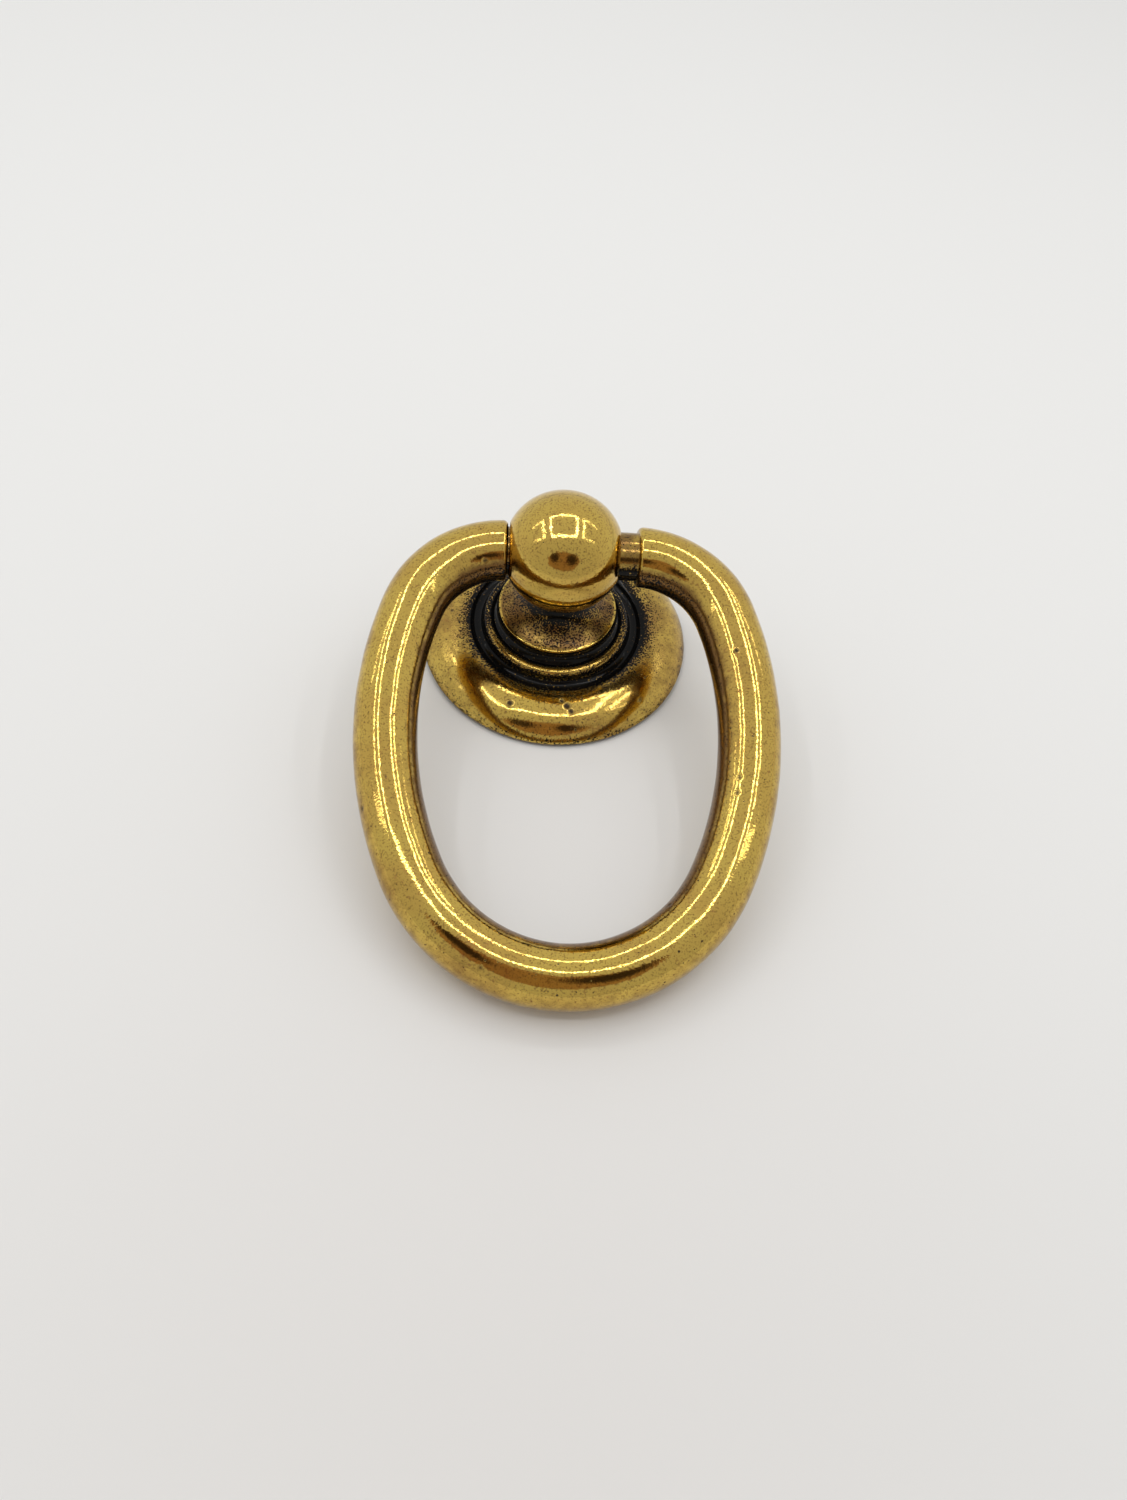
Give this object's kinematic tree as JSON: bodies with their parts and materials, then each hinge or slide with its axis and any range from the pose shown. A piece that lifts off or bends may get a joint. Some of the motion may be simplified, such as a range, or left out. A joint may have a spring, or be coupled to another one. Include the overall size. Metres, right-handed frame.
{
  "type": "ring pull handle",
  "caption": "Brass ring pull for a drawer: oval ring of round bar hinged in a ball-headed post on a turned round rose, fixed by a screw from behind.",
  "frame": {"origin": "centre of the rose's back face, at the mouth of the tapped hole for the fixing screw", "axes": "+Z along the post, away from the drawer front; X along the ring's hinge axis; the ring hangs towards -Y and rests on the plane of the rose's back"},
  "size_m": [0.0425, 0.0605, 0.0208],
  "materials": {
    "antique_brass": "cast and turned brass, patinated brown-black and polished back on the high places"
  },
  "bodies": {
    "base": {"rose_plate": "antique_brass", "ball_post": "antique_brass"},
    "ring": {"pull_ring": "antique_brass"}
  },
  "joints": [
    {"name": "ring_swing", "type": "hinge", "parent": "base", "child": "ring", "pos_m": [0, 0, 0.01415], "axis": [-1, 0, 0], "range_deg": [0, 150]}
  ]
}
